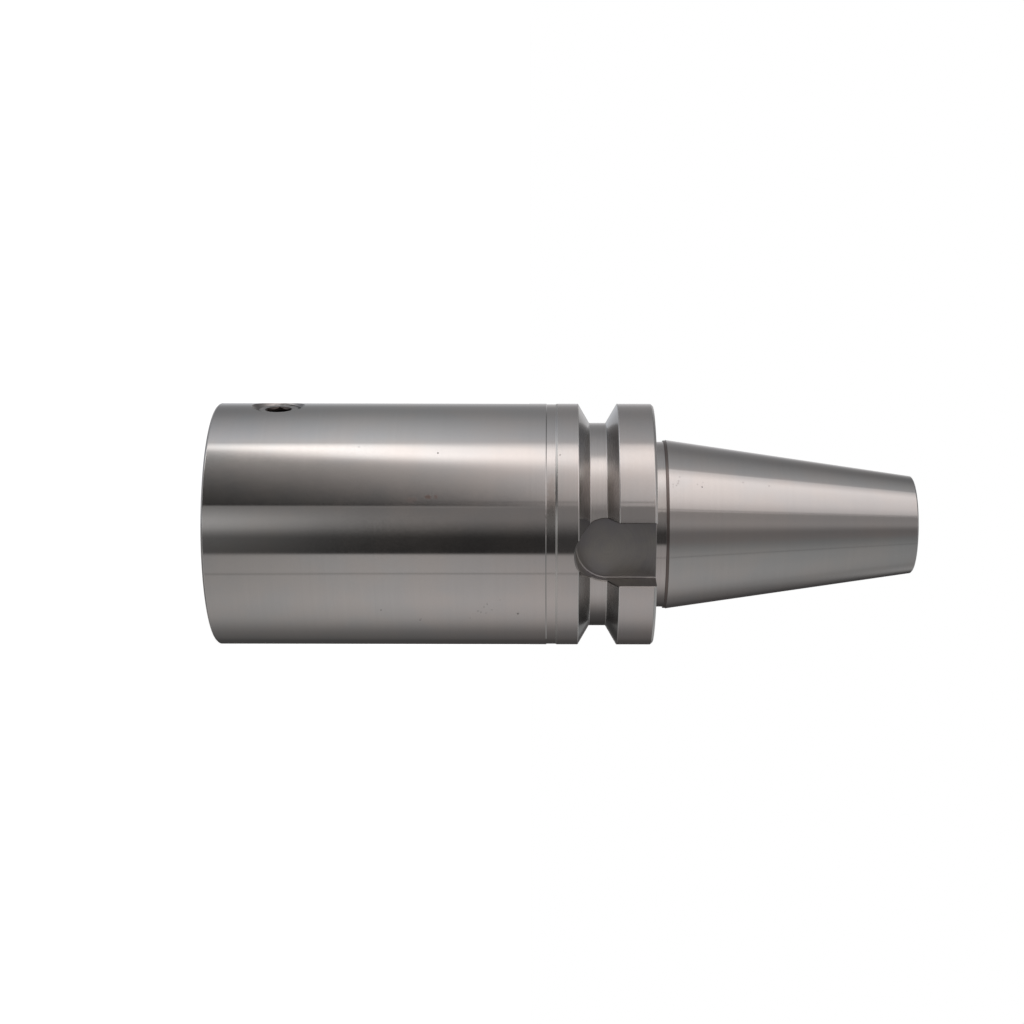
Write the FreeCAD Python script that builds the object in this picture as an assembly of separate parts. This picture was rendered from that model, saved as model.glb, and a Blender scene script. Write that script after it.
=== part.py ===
import FreeCAD, Part
import math
import os

# Boring head shank: a one-piece hardened and ground steel tool shank with a
# 7/24 taper (size 40), a drive flange with a V groove, and a cylindrical body
# bored for the spigot of a boring head, with its radial clamp screw.
#
# Frame: millimetres. The shank stands on its front face. Z runs along its
# axis, from the front face (z = 0) up to the small end of the taper. The clamp
# screw is on the -X side, the two drive slots are on the +Y and -Y sides.

V = FreeCAD.Vector

# ---- body -------------------------------------------------------------
BODY_R = 31.5            # body and flange radius
FRONT_CHAMFER = 0.5      # break on the rim of the front face
BODY_END_Z = 85.4        # where the body meets the shallow relief
RELIEF_END_Z = 87.65     # where the step up to the flange starts
RELIEF_RISE = 0.5        # length of that shallow step
RELIEF_DEPTH = 0.15      # relief below the body, on the radius
RELIEF_BREAK = 0.2       # small chamfer at the body's end of the relief

# ---- flange with V groove ------------------------------------------------
GROOVE_Z = 98.5          # middle of the V groove
GROOVE_BOTTOM_R = 26.5   # radius of the groove's flat bottom
GROOVE_BOTTOM_W = 4.28   # width of the flat bottom
GROOVE_HALF_ANGLE = 30.0 # each flank from the plane across the axis
GROOVE_BREAK = 0.25      # edge break where the flanks meet the rim
FLANGE_END_Z = 112.95    # flange face towards the spindle
FLANGE_BREAK = 0.6       # chamfer on that face's rim

# ---- collar, land and taper ----------------------------------------------
COLLAR_R = 21.6          # collar between flange and taper
LAND_START_Z = 115.65
LAND_END_Z = 116.35
LAND_R = 21.95           # narrow unground land at the taper's big end
GAUGE_Z = 115.3          # gauge line of the taper
GAUGE_R = 22.225         # radius at the gauge line
TAPER_PER_MM = 7.0 / 48  # radius lost per mm of length
TOTAL_L = 180.7
END_BREAK = 0.3          # chamfer on the small end

# ---- drive slots ----------------------------------------------------------
SLOT_W = 16.1
SLOT_FLOOR = 22.6        # from the axis to the slot floor
SLOT_ROUND_Z = 100.7     # centre of the round end
SLOT_FILLET = 0.5        # in the corner of floor and walls
SLOT_BREAK = 0.4         # edge break along the slot's rim

# ---- front bore for the boring head's spigot -----------------------------
BORE_R = 18.0
BORE_DEPTH = 44.0
BORE_CHAMFER = 1.0
PASSAGE_R = 5.0          # coolant passage through the shank
PASSAGE_CHAMFER = 0.8

# ---- clamp screw and its threaded hole ------------------------------------
SCREW_Z = 16.0           # screw axis above the front face
SCREW_HOLE_R = 6.0       # M12 x 1.75, drawn at its major radius
SCREW_SINK_R = 6.85      # countersink radius at the body's surface
SCREW_R = 5.95
SCREW_OUTER_X = -30.5    # socket end, just below the body's surface
SCREW_TIP_X = -18.4      # tip, clear of the bore
SCREW_TIP_R = 3.2        # flat on the cone point
SCREW_BREAK = 0.9        # chamfer at the socket end
HEX_AF = 6.0             # hexagon socket across flats
HEX_DEPTH = 5.6
HEX_SINK_R = 3.5         # small cone at the socket's mouth

# ---- pull stud hole in the small end --------------------------------------
PILOT_R = 8.5
PILOT_DEPTH = 5.0
PILOT_CHAMFER = 0.6
STUD_R = 8.0             # M16 x 2, drawn at its major radius
STUD_DEPTH = 33.0        # end of the thread below the small end
DRILL_R = 7.0
DRILL_DEPTH = 38.0


def revolved(points):
    """A solid of revolution about Z from (radius, z) corners."""
    wire = Part.makePolygon([V(r, 0, z) for r, z in points] + [V(points[0][0], 0, points[0][1])])
    return Part.Face(wire).revolve(V(0, 0, 0), V(0, 0, 1), 360)


def cone_along_x(r1, x1, r2, x2, z):
    return Part.makeCone(r1, r2, abs(x2 - x1), V(x1, 0, z), V(1 if x2 > x1 else -1, 0, 0))


# ---- shank: outside -------------------------------------------------------
tan_half = math.tan(math.radians(GROOVE_HALF_ANGLE))
groove_half_bottom = GROOVE_BOTTOM_W / 2
groove_half_top = groove_half_bottom + (BODY_R - GROOVE_BOTTOM_R) * tan_half
relief_r = BODY_R - RELIEF_DEPTH


def taper_r(z):
    return GAUGE_R - TAPER_PER_MM * (z - GAUGE_Z)


end_r = taper_r(TOTAL_L)
gb = GROOVE_BREAK
outside = [
    (0.0, 0.0),
    (BODY_R - FRONT_CHAMFER, 0.0),
    (BODY_R, FRONT_CHAMFER),
    (BODY_R, BODY_END_Z - RELIEF_BREAK),
    (relief_r, BODY_END_Z),
    (relief_r, RELIEF_END_Z),
    (BODY_R, RELIEF_END_Z + RELIEF_RISE),
    (BODY_R, GROOVE_Z - groove_half_top - gb),
    (BODY_R - gb, GROOVE_Z - groove_half_top + gb * tan_half),
    (GROOVE_BOTTOM_R, GROOVE_Z - groove_half_bottom),
    (GROOVE_BOTTOM_R, GROOVE_Z + groove_half_bottom),
    (BODY_R - gb, GROOVE_Z + groove_half_top - gb * tan_half),
    (BODY_R, GROOVE_Z + groove_half_top + gb),
    (BODY_R, FLANGE_END_Z - FLANGE_BREAK),
    (BODY_R - FLANGE_BREAK, FLANGE_END_Z),
    (COLLAR_R, FLANGE_END_Z),
    (COLLAR_R, LAND_START_Z),
    (LAND_R, LAND_START_Z),
    (LAND_R, LAND_END_Z),
    (taper_r(LAND_END_Z), LAND_END_Z),
    (taper_r(TOTAL_L - END_BREAK), TOTAL_L - END_BREAK),
    (end_r - END_BREAK, TOTAL_L),
    (0.0, TOTAL_L),
]
shank = revolved(outside)

# ---- shank: inside ----------------------------------------------------------
drill_cone = DRILL_R - PASSAGE_R
inside = [
    (0.0, -1.0),
    (BORE_R + BORE_CHAMFER + 1.0, -1.0),
    (BORE_R, BORE_CHAMFER),
    (BORE_R, BORE_DEPTH),
    (PASSAGE_R + PASSAGE_CHAMFER, BORE_DEPTH),
    (PASSAGE_R, BORE_DEPTH + PASSAGE_CHAMFER),
    (PASSAGE_R, TOTAL_L - DRILL_DEPTH - drill_cone),
    (DRILL_R, TOTAL_L - DRILL_DEPTH),
    (DRILL_R, TOTAL_L - STUD_DEPTH - (STUD_R - DRILL_R)),
    (STUD_R, TOTAL_L - STUD_DEPTH),
    (STUD_R, TOTAL_L - PILOT_DEPTH - (PILOT_R - STUD_R)),
    (PILOT_R, TOTAL_L - PILOT_DEPTH),
    (PILOT_R, TOTAL_L - PILOT_CHAMFER),
    (PILOT_R + PILOT_CHAMFER + 1.0, TOTAL_L + 1.0),
    (0.0, TOTAL_L + 1.0),
]
shank = shank.cut(revolved(inside))

# ---- drive slots: flat floor, straight walls, round end ---------------------
# The cutter is a slot-shaped prism, rounded in the corner of floor and walls.
hw = SLOT_W / 2
top_z = TOTAL_L            # the cutter runs past the flange face
path = [
    Part.LineSegment(V(-hw, 0, top_z), V(-hw, 0, SLOT_ROUND_Z)).toShape(),
    Part.Arc(V(-hw, 0, SLOT_ROUND_Z), V(0, 0, SLOT_ROUND_Z - hw), V(hw, 0, SLOT_ROUND_Z)).toShape(),
    Part.LineSegment(V(hw, 0, SLOT_ROUND_Z), V(hw, 0, top_z)).toShape(),
    Part.LineSegment(V(hw, 0, top_z), V(-hw, 0, top_z)).toShape(),
]
profile = Part.Face(Part.Wire(path))
prism = profile.extrude(V(0, 20, 0))
prism.translate(V(0, SLOT_FLOOR, 0))
floor_edges = []
for e in prism.Edges:
    b = e.BoundBox
    if abs(b.YMin - SLOT_FLOOR) < 1e-6 and abs(b.YMax - SLOT_FLOOR) < 1e-6 and b.ZMin < top_z - 1e-6:
        floor_edges.append(e)
cutter = prism.makeFillet(SLOT_FILLET, floor_edges)
# A taper above the flange is inside the floor level, so the cutter clears it.
shank = shank.cut(cutter)
shank = shank.cut(cutter.mirror(V(0, 0, 0), V(0, 1, 0)))

# Edge break along both slots' rims on the flange's outside.
rim = []
for e in shank.Edges:
    b = e.BoundBox
    if b.ZMin < SLOT_ROUND_Z - hw - 0.5 or b.ZMax > FLANGE_END_Z - FLANGE_BREAK + 1e-4:
        continue
    if b.ZLength < 2.0:
        continue
    pts = e.discretize(9)
    on_rim = all(abs(math.hypot(p.x, p.y) - BODY_R) < 1e-3 for p in pts)
    in_wall = all(abs(abs(p.x) - hw) < 1e-3 for p in pts)
    if on_rim and in_wall:
        rim.append(e)
shank = shank.makeChamfer(SLOT_BREAK, rim) if rim else shank

# ---- clamp screw hole: radial, countersunk, through to the bore -------------
hole = Part.makeCylinder(SCREW_HOLE_R, BODY_R - BORE_R + 4.0, V(-BODY_R - 2.0, 0, SCREW_Z), V(1, 0, 0))
sink_depth = SCREW_SINK_R - SCREW_HOLE_R
sink = cone_along_x(SCREW_HOLE_R, -BODY_R + sink_depth, SCREW_HOLE_R + sink_depth + 2.0, -BODY_R - 2.0, SCREW_Z)
shank = shank.cut(hole.fuse(sink))

# ---- clamp screw: hexagon socket set screw with a cone point ----------------
cone_len = SCREW_R - SCREW_TIP_R
screw = Part.makeCylinder(
    SCREW_R,
    SCREW_TIP_X - SCREW_OUTER_X - cone_len - SCREW_BREAK,
    V(SCREW_OUTER_X + SCREW_BREAK, 0, SCREW_Z),
    V(1, 0, 0),
)
screw = screw.fuse(cone_along_x(SCREW_R - SCREW_BREAK, SCREW_OUTER_X, SCREW_R, SCREW_OUTER_X + SCREW_BREAK, SCREW_Z))
screw = screw.fuse(cone_along_x(SCREW_R, SCREW_TIP_X - cone_len, SCREW_TIP_R, SCREW_TIP_X, SCREW_Z))
corner = HEX_AF / math.sqrt(3)
hexagon = [
    V(SCREW_OUTER_X, corner * math.cos(math.radians(60 * k)), SCREW_Z + corner * math.sin(math.radians(60 * k)))
    for k in range(6)
]
socket = Part.Face(Part.makePolygon(hexagon + [hexagon[0]])).extrude(V(HEX_DEPTH, 0, 0))
socket = socket.fuse(cone_along_x(HEX_AF / 2 - 0.05, SCREW_OUTER_X + HEX_DEPTH, 0.0, SCREW_OUTER_X + HEX_DEPTH + 1.2, SCREW_Z))
socket = socket.fuse(cone_along_x(HEX_SINK_R, SCREW_OUTER_X, HEX_AF / 2, SCREW_OUTER_X + HEX_SINK_R - HEX_AF / 2, SCREW_Z))
screw = screw.cut(socket).removeSplitter()

os.makedirs("parts", exist_ok=True)
for name, shape in (("shank", shank), ("clamp_screw", screw)):
    solid = shape.Solids[0] if len(shape.Solids) == 1 else shape
    print(name, "solids", len(shape.Solids), "valid", solid.isValid(), "volume", round(solid.Volume, 1),
          "box", [round(v, 3) for v in (solid.BoundBox.XMin, solid.BoundBox.XMax, solid.BoundBox.YMin,
                                        solid.BoundBox.YMax, solid.BoundBox.ZMin, solid.BoundBox.ZMax)])
    solid.exportStep(os.path.join("parts", name + ".step"))
print("rim edges broken", len(rim))
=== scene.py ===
import math

import bmesh
import bpy
import numpy as np
from mathutils import Matrix, Vector


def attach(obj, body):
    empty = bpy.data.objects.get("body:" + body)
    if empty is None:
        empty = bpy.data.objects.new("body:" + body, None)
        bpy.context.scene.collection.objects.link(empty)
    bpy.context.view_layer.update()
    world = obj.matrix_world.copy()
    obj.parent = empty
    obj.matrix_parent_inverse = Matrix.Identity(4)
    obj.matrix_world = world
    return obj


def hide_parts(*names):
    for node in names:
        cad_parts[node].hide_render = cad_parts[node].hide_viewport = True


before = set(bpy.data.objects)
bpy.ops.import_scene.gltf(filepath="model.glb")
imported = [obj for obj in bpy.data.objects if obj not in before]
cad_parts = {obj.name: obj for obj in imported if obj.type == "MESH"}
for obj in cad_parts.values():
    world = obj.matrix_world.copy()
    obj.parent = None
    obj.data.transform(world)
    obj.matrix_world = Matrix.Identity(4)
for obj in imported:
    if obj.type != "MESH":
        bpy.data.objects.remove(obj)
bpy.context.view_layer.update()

MM = 0.001

# The photographed side: the drive slot's normal lies this far below the line of sight.
THETA = math.radians(14.5)
BACK = Vector((-math.sin(THETA), -math.cos(THETA), 0.0))   # from the shank towards the camera
UP = Vector((-math.cos(THETA), math.sin(THETA), 0.0))      # the picture's up
RIGHT = Vector((0.0, 0.0, 1.0))                            # the picture's right

# ---------------------------------------------------------------- dimensions, mm
BODY_R = 31.5
BODY_END_Z, RELIEF_END_Z, RELIEF_RISE, RELIEF_DEPTH = 85.4, 87.65, 0.5, 0.15
GROOVE_Z, GROOVE_BOTTOM_R, GROOVE_BOTTOM_W = 98.5, 26.5, 4.28
FLANGE_END_Z, FLANGE_BREAK = 112.95, 0.6
COLLAR_R, LAND_R = 21.6, 21.95
LAND_START_Z, LAND_END_Z = 115.65, 116.35
GAUGE_Z, GAUGE_R, TAPER_PER_MM = 115.3, 22.225, 7.0 / 48
TOTAL_L, END_BREAK = 180.7, 0.3
SLOT_W, SLOT_FLOOR, SLOT_ROUND_Z, SLOT_FILLET, SLOT_BREAK = 16.1, 22.6, 100.7, 0.5, 0.4
BORE_R, BORE_DEPTH, BORE_CHAMFER = 18.0, 44.0, 1.0
PASSAGE_R = 5.0
SCREW_Z, SCREW_OUTER_X, SCREW_TIP_X, SCREW_TIP_R = 16.0, -30.5, -18.4, 3.2
SCREW_SINK_R = 6.85
SCREW_PITCH, SCREW_CREST_R, SCREW_ROOT_R = 1.75, 5.95, 4.86
HEX_AF, HEX_DEPTH, HEX_SINK_R = 6.0, 5.6, 3.5
STUD_PITCH, STUD_R, STUD_CREST_R = 2.0, 8.0, 6.95
PILOT_R, PILOT_DEPTH, STUD_DEPTH, DRILL_R, DRILL_DEPTH = 8.5, 5.0, 33.0, 7.0, 38.0


def taper_r(z):
    return GAUGE_R - TAPER_PER_MM * (z - GAUGE_Z)


# ---------------------------------------------------------------- materials
def new_material(name):
    m = bpy.data.materials.new(name)
    m.use_nodes = True
    t = m.node_tree
    for n in list(t.nodes):
        t.nodes.remove(n)
    return m, t


class Tree:
    """Small helper for building node trees."""

    def __init__(self, tree):
        self.t = tree

    def node(self, kind, **props):
        n = self.t.nodes.new(kind)
        for k, v in props.items():
            setattr(n, k, v)
        return n

    def put(self, socket, value):
        if isinstance(value, bpy.types.NodeSocket):
            self.t.links.new(value, socket)
        elif value is not None:
            socket.default_value = value

    def math(self, op, a, b=None, c=None, clamp=False):
        n = self.node("ShaderNodeMath", operation=op, use_clamp=clamp)
        self.put(n.inputs[0], a)
        if b is not None:
            self.put(n.inputs[1], b)
        if c is not None:
            self.put(n.inputs[2], c)
        return n.outputs[0]

    def vmath(self, op, a, b=None, scale=None):
        n = self.node("ShaderNodeVectorMath", operation=op)
        self.put(n.inputs[0], a)
        if b is not None:
            self.put(n.inputs[1], b)
        if scale is not None:
            self.put(n.inputs[3], scale)
        return n.outputs["Value"] if op in ("DOT_PRODUCT", "LENGTH", "DISTANCE") else n.outputs["Vector"]

    def ramp(self, value, lo, hi, out_lo=0.0, out_hi=1.0, smooth=True):
        n = self.node("ShaderNodeMapRange", interpolation_type="SMOOTHSTEP" if smooth else "LINEAR", clamp=True)
        self.put(n.inputs["Value"], value)
        self.put(n.inputs["From Min"], lo)
        self.put(n.inputs["From Max"], hi)
        self.put(n.inputs["To Min"], out_lo)
        self.put(n.inputs["To Max"], out_hi)
        return n.outputs["Result"]

    def mixf(self, fac, a, b):
        n = self.node("ShaderNodeMix", data_type="FLOAT")
        self.put(n.inputs["Factor"], fac)
        self.put(n.inputs[2], a)
        self.put(n.inputs[3], b)
        return n.outputs[0]

    def mixc(self, fac, a, b, blend="MIX"):
        n = self.node("ShaderNodeMix", data_type="RGBA", blend_type=blend)
        self.put(n.inputs["Factor"], fac)
        self.put(n.inputs[6], a)
        self.put(n.inputs[7], b)
        return n.outputs[2]

    def noise(self, vector, scale, detail=2.0, rough=0.5, lac=2.0, dims="3D"):
        n = self.node("ShaderNodeTexNoise", noise_dimensions=dims)
        self.put(n.inputs["Vector"], vector)
        self.put(n.inputs["Scale"], scale)
        self.put(n.inputs["Detail"], detail)
        self.put(n.inputs["Roughness"], rough)
        self.put(n.inputs["Lacunarity"], lac)
        return n.outputs["Fac"]

    def xyz(self, x, y, z):
        n = self.node("ShaderNodeCombineXYZ")
        self.put(n.inputs[0], x)
        self.put(n.inputs[1], y)
        self.put(n.inputs[2], z)
        return n.outputs[0]


# Small pits in the ground surfaces: (x, y, z, radius) in mm.
PITS = [
    (-23.72, -20.71, 58.33, 0.24), (-24.89, -19.28, 38.53, 0.16), (15.09, -27.65, 43.93, 0.20),
    (18.35, -25.59, 53.53, 0.22), (16.29, -26.95, 78.28, 0.22), (15.99, -27.13, 70.24, 0.16),
    (-23.36, -21.11, 88.74, 0.24), (-13.85, -15.52, 124.70, 0.26), (-13.39, -12.44, 141.99, 0.20),
]
# Faint scuffs, in the same form.
SCUFFS = [
    (14.10, -28.15, 69.79, 0.26), (13.17, -28.61, 70.56, 0.24), (15.67, -27.31, 69.00, 0.26),
    (15.03, -27.68, 71.77, 0.24), (15.35, -27.51, 68.25, 0.22), (18.01, -25.83, 53.80, 0.26),
    (16.13, -27.05, 78.28, 0.40), (11.95, -29.14, 73.83, 0.20), (17.64, -26.09, 66.17, 0.24),
    (-16.16, -14.37, 119.04, 0.30), (-15.35, -15.30, 118.75, 0.40), (-14.83, -15.83, 118.60, 0.40),
    (-14.41, -16.28, 118.20, 0.36), (-14.66, -16.24, 117.31, 0.28), (-14.12, -16.70, 117.30, 0.26),
    (-14.42, -15.21, 123.58, 0.26), (-14.79, -14.57, 125.01, 0.26), (-14.36, -12.82, 135.31, 0.34),
]
RUST = (0.24, 0.155, 0.13, 1.0)
# Colour of the grey patch on the relief band: painted shade, not a stain.
RELIEF_SHADE_GREY = (0.26, 0.255, 0.245, 1.0)
BROWN = (0.36, 0.27, 0.21, 1.0)


def steel(name, rough, aniso, base=(0.61, 0.595, 0.585), ring_scale=5200.0, ring_tint=0.011, ring_bump=0.08,
          streak=30.0, rough_var=0.02, pits=(), scuffs=(), stains_and_painted_shade=(), blotch=0.03, metallic=1.0, painted_shade_below=0.0, scuff=0.22):
    """Turned or ground steel: fine rings round Z that spread reflections along the axis."""
    m, tree = new_material(name)
    t = Tree(tree)
    co = t.node("ShaderNodeTexCoord").outputs["Object"]
    sep = t.node("ShaderNodeSeparateXYZ")
    t.put(sep.inputs[0], co)
    x, y, z = sep.outputs
    # Rings: fine along the axis, long round it.
    ring_vec = t.xyz(t.math("MULTIPLY", x, streak), t.math("MULTIPLY", y, streak), t.math("MULTIPLY", z, ring_scale))
    rings = t.noise(ring_vec, 1.0, 3.0, 0.6)
    broad_vec = t.xyz(t.math("MULTIPLY", x, streak * 0.6), t.math("MULTIPLY", y, streak * 0.6), t.math("MULTIPLY", z, ring_scale * 0.22))
    broad = t.noise(broad_vec, 1.0, 3.0, 0.6)
    cloud = t.noise(co, 75.0, 4.0, 0.55)
    grain = t.noise(co, 1800.0, 2.0, 0.5)
    # Colour: a warm grey that drifts a little, darker in the deeper rings.
    warm = (base[0] * 1.012, base[1] * 0.996, base[2] * 0.985, 1.0)
    cool = (base[0] * 0.99, base[1] * 1.0, base[2] * 1.008, 1.0)
    colour = t.mixc(t.ramp(cloud, 0.38, 0.62), cool, warm)
    shade = t.math("ADD", t.ramp(rings, 0.3, 0.7, 1.0 - ring_tint, 1.0 + ring_tint, False),
                   t.ramp(broad, 0.3, 0.7, -ring_tint * 0.7, ring_tint * 0.7, False))
    shade = t.math("MULTIPLY", shade, t.ramp(cloud, 0.3, 0.7, 1.0 - blotch, 1.0 + blotch * 0.4, False))
    shade_rgb = t.xyz(shade, shade, shade)
    colour = t.mixc(1.0, colour, shade_rgb, "MULTIPLY")
    if painted_shade_below:
        # Painted shade: the side turned away from UP is darkened, standing in for the shadow on the side towards the
        # table.
        down = t.math("DIVIDE", t.vmath("DOT_PRODUCT", co, tuple(-c for c in UP)), t.vmath("LENGTH", t.xyz(x, y, 0.0)))
        dark = t.ramp(t.math("ADD", down, t.math("MULTIPLY", t.math("SUBTRACT", cloud, 0.5), 0.08)), 0.64, 0.97, 1.0, 1.0 - painted_shade_below)
        colour = t.mixc(1.0, colour, t.xyz(dark, dark, dark), "MULTIPLY")
    rough_v = t.math("ADD", t.ramp(cloud, 0.3, 0.7, rough - rough_var * 0.5, rough + rough_var * 0.5, False),
                     t.ramp(grain, 0.3, 0.7, -rough_var * 0.5, rough_var * 0.5, False))
    height = t.math("MULTIPLY", rings, 1.0)
    for marks, strength, dark in ((pits, 0.85, (0.09, 0.078, 0.07, 1.0)), (scuffs, scuff, (0.30, 0.285, 0.275, 1.0))):
        mask = None
        for px, py, pz, pr in marks:
            d = t.vmath("DISTANCE", co, (px * MM, py * MM, pz * MM))
            one = t.ramp(t.math("ADD", d, t.math("MULTIPLY", t.math("SUBTRACT", grain, 0.5), pr * MM * 1.2)),
                         pr * MM * 0.45, pr * MM, 1.0, 0.0)
            mask = one if mask is None else t.math("MAXIMUM", mask, one)
        if mask is not None:
            colour = t.mixc(t.math("MULTIPLY", mask, strength), colour, dark)
            rough_v = t.math("ADD", rough_v, t.math("MULTIPLY", mask, strength * 0.4))
            height = t.math("SUBTRACT", height, t.math("MULTIPLY", mask, strength * 3.0))
    # Stains, and one patch of painted shade on the relief band, as ellipses round the axis.
    for sx, sy, sz, half_z, half_a, strength, dark in stains_and_painted_shade:
        o = t.node("ShaderNodeSeparateXYZ")
        t.put(o.inputs[0], t.vmath("SUBTRACT", co, (sx * MM, sy * MM, sz * MM)))
        e = t.math("SQRT", t.math("ADD",
                                  t.math("POWER", t.math("DIVIDE", o.outputs[2], half_z * MM), 2.0),
                                  t.math("POWER", t.math("DIVIDE", t.vmath("LENGTH", t.xyz(o.outputs[0], o.outputs[1], 0.0)), half_a * MM), 2.0)))
        spot = t.ramp(t.math("ADD", e, t.math("MULTIPLY", t.math("SUBTRACT", t.noise(co, 900.0, 3.0, 0.6), 0.5), 1.0)), 0.4, 1.2, 1.0, 0.0)
        colour = t.mixc(t.math("MULTIPLY", spot, strength), colour, dark)
        rough_v = t.math("ADD", rough_v, t.math("MULTIPLY", spot, strength * 0.15))
    bump = t.node("ShaderNodeBump")
    bump.inputs["Strength"].default_value = ring_bump
    bump.inputs["Distance"].default_value = 0.000012
    t.put(bump.inputs["Height"], height)
    tangent = t.node("ShaderNodeTangent", direction_type="RADIAL", axis="Z")
    bsdf = t.node("ShaderNodeBsdfPrincipled")
    bsdf.inputs["Metallic"].default_value = metallic
    bsdf.inputs["Anisotropic"].default_value = aniso
    bsdf.inputs["Anisotropic Rotation"].default_value = 0.25
    t.put(bsdf.inputs["Base Color"], colour)
    t.put(bsdf.inputs["Roughness"], rough_v)
    t.put(bsdf.inputs["Normal"], bump.outputs[0])
    t.put(bsdf.inputs["Tangent"], tangent.outputs[0])
    out = t.node("ShaderNodeOutputMaterial")
    t.put(out.inputs["Surface"], bsdf.outputs[0])
    return m


def milled(name, rough=0.42, base=(0.395, 0.385, 0.38)):
    """End-milled slot surfaces: soft arcs left by the cutter and a satin finish."""
    m, tree = new_material(name)
    t = Tree(tree)
    co = t.node("ShaderNodeTexCoord").outputs["Object"]
    sep = t.node("ShaderNodeSeparateXYZ")
    t.put(sep.inputs[0], co)
    x, y, z = sep.outputs
    # Cutter arcs: rings round a centre that walks along the slot.
    wave_vec = t.xyz(t.math("MULTIPLY", x, 1.0), 0.0, t.math("SUBTRACT", z, 0.1007))
    arc = t.vmath("LENGTH", wave_vec)
    marks = t.noise(t.xyz(t.math("MULTIPLY", arc, 2600.0), t.math("MULTIPLY", x, 90.0), t.math("MULTIPLY", y, 90.0)), 1.0, 2.0, 0.5)
    cloud = t.noise(co, 110.0, 3.0, 0.55)
    grain = t.noise(co, 3500.0, 2.0, 0.5)
    colour = t.mixc(t.ramp(cloud, 0.35, 0.65), (base[0] * 0.93, base[1] * 0.93, base[2] * 0.96, 1.0), (base[0] * 1.05, base[1] * 1.04, base[2] * 1.0, 1.0))
    shade = t.math("MULTIPLY", t.ramp(marks, 0.3, 0.7, 0.96, 1.04, False), t.ramp(grain, 0.3, 0.7, 0.96, 1.04, False))
    # Painted shade: darker along one wall, next to where the floor meets it; also darker towards the flange's face.
    shade = t.math("MULTIPLY", shade, t.ramp(x, -0.0085, 0.0015, 0.68, 1.05, False))
    shade = t.math("MULTIPLY", shade, t.ramp(z, 0.104, 0.1125, 1.0, 0.90))
    colour = t.mixc(1.0, colour, t.xyz(shade, shade, shade), "MULTIPLY")
    # Painted shade: a bluish cast near that same wall.
    colour = t.mixc(t.ramp(x, -0.0085, -0.001, 1.0, 0.0), colour, (0.97, 0.97, 1.06, 1.0), "MULTIPLY")
    bump = t.node("ShaderNodeBump")
    bump.inputs["Strength"].default_value = 0.25
    bump.inputs["Distance"].default_value = 0.00002
    t.put(bump.inputs["Height"], t.math("ADD", marks, t.math("MULTIPLY", grain, 0.5)))
    bsdf = t.node("ShaderNodeBsdfPrincipled")
    bsdf.inputs["Metallic"].default_value = 1.0
    t.put(bsdf.inputs["Base Color"], colour)
    t.put(bsdf.inputs["Roughness"], t.ramp(cloud, 0.3, 0.7, rough - 0.04, rough + 0.04, False))
    t.put(bsdf.inputs["Normal"], bump.outputs[0])
    out = t.node("ShaderNodeOutputMaterial")
    t.put(out.inputs["Surface"], bsdf.outputs[0])
    return m


def black_oxide(name):
    """Blackened screw steel: near black, slightly oily, worn bright along the thread crests."""
    m, tree = new_material(name)
    t = Tree(tree)
    co = t.node("ShaderNodeTexCoord").outputs["Object"]
    cloud = t.noise(co, 420.0, 4.0, 0.6)
    grain = t.noise(co, 5200.0, 2.0, 0.5)
    colour = t.mixc(t.ramp(cloud, 0.4, 0.75), (0.028, 0.027, 0.027, 1.0), (0.075, 0.067, 0.06, 1.0))
    # Wear: the thread's crest is rubbed brighter.
    sep = t.node("ShaderNodeSeparateXYZ")
    t.put(sep.inputs[0], co)
    radial = t.vmath("LENGTH", t.xyz(0.0, sep.outputs[1], t.math("SUBTRACT", sep.outputs[2], SCREW_Z * MM)))
    crest = t.math("MULTIPLY", t.ramp(radial, 0.0057, 0.00595), t.ramp(cloud, 0.35, 0.65))
    colour = t.mixc(t.math("MULTIPLY", crest, 0.5), colour, (0.20, 0.19, 0.18, 1.0))
    # The end face is rubbed to bare grey steel outside the socket.
    rubbed = t.math("MULTIPLY", t.ramp(radial, 0.00345, 0.0036),
                    t.ramp(sep.outputs[0], SCREW_OUTER_X * MM + 0.00002, SCREW_OUTER_X * MM + 0.0001, 1.0, 0.0))
    colour = t.mixc(rubbed, colour, t.mixc(t.ramp(cloud, 0.3, 0.7), (0.42, 0.415, 0.41, 1.0), (0.52, 0.51, 0.505, 1.0)))
    # The socket's walls are brownish at the mouth; further in they go black, painted shade deep in the socket.
    walls = t.ramp(radial, 0.0034, 0.0036, 1.0, 0.0)
    deep_shade = t.ramp(sep.outputs[0], SCREW_OUTER_X * MM + 0.0006, SCREW_OUTER_X * MM + 0.0012)
    colour = t.mixc(walls, colour, t.mixc(deep_shade, (0.10, 0.084, 0.080, 1.0), (0.010, 0.010, 0.010, 1.0)))
    bump = t.node("ShaderNodeBump")
    bump.inputs["Strength"].default_value = 0.3
    bump.inputs["Distance"].default_value = 0.00002
    t.put(bump.inputs["Height"], grain)
    bsdf = t.node("ShaderNodeBsdfPrincipled")
    bsdf.inputs["Metallic"].default_value = 0.85
    t.put(bsdf.inputs["Base Color"], colour)
    t.put(bsdf.inputs["Roughness"], t.ramp(cloud, 0.3, 0.7, 0.34, 0.48, False))
    t.put(bsdf.inputs["Normal"], bump.outputs[0])
    out = t.node("ShaderNodeOutputMaterial")
    t.put(out.inputs["Surface"], bsdf.outputs[0])
    return m


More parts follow.
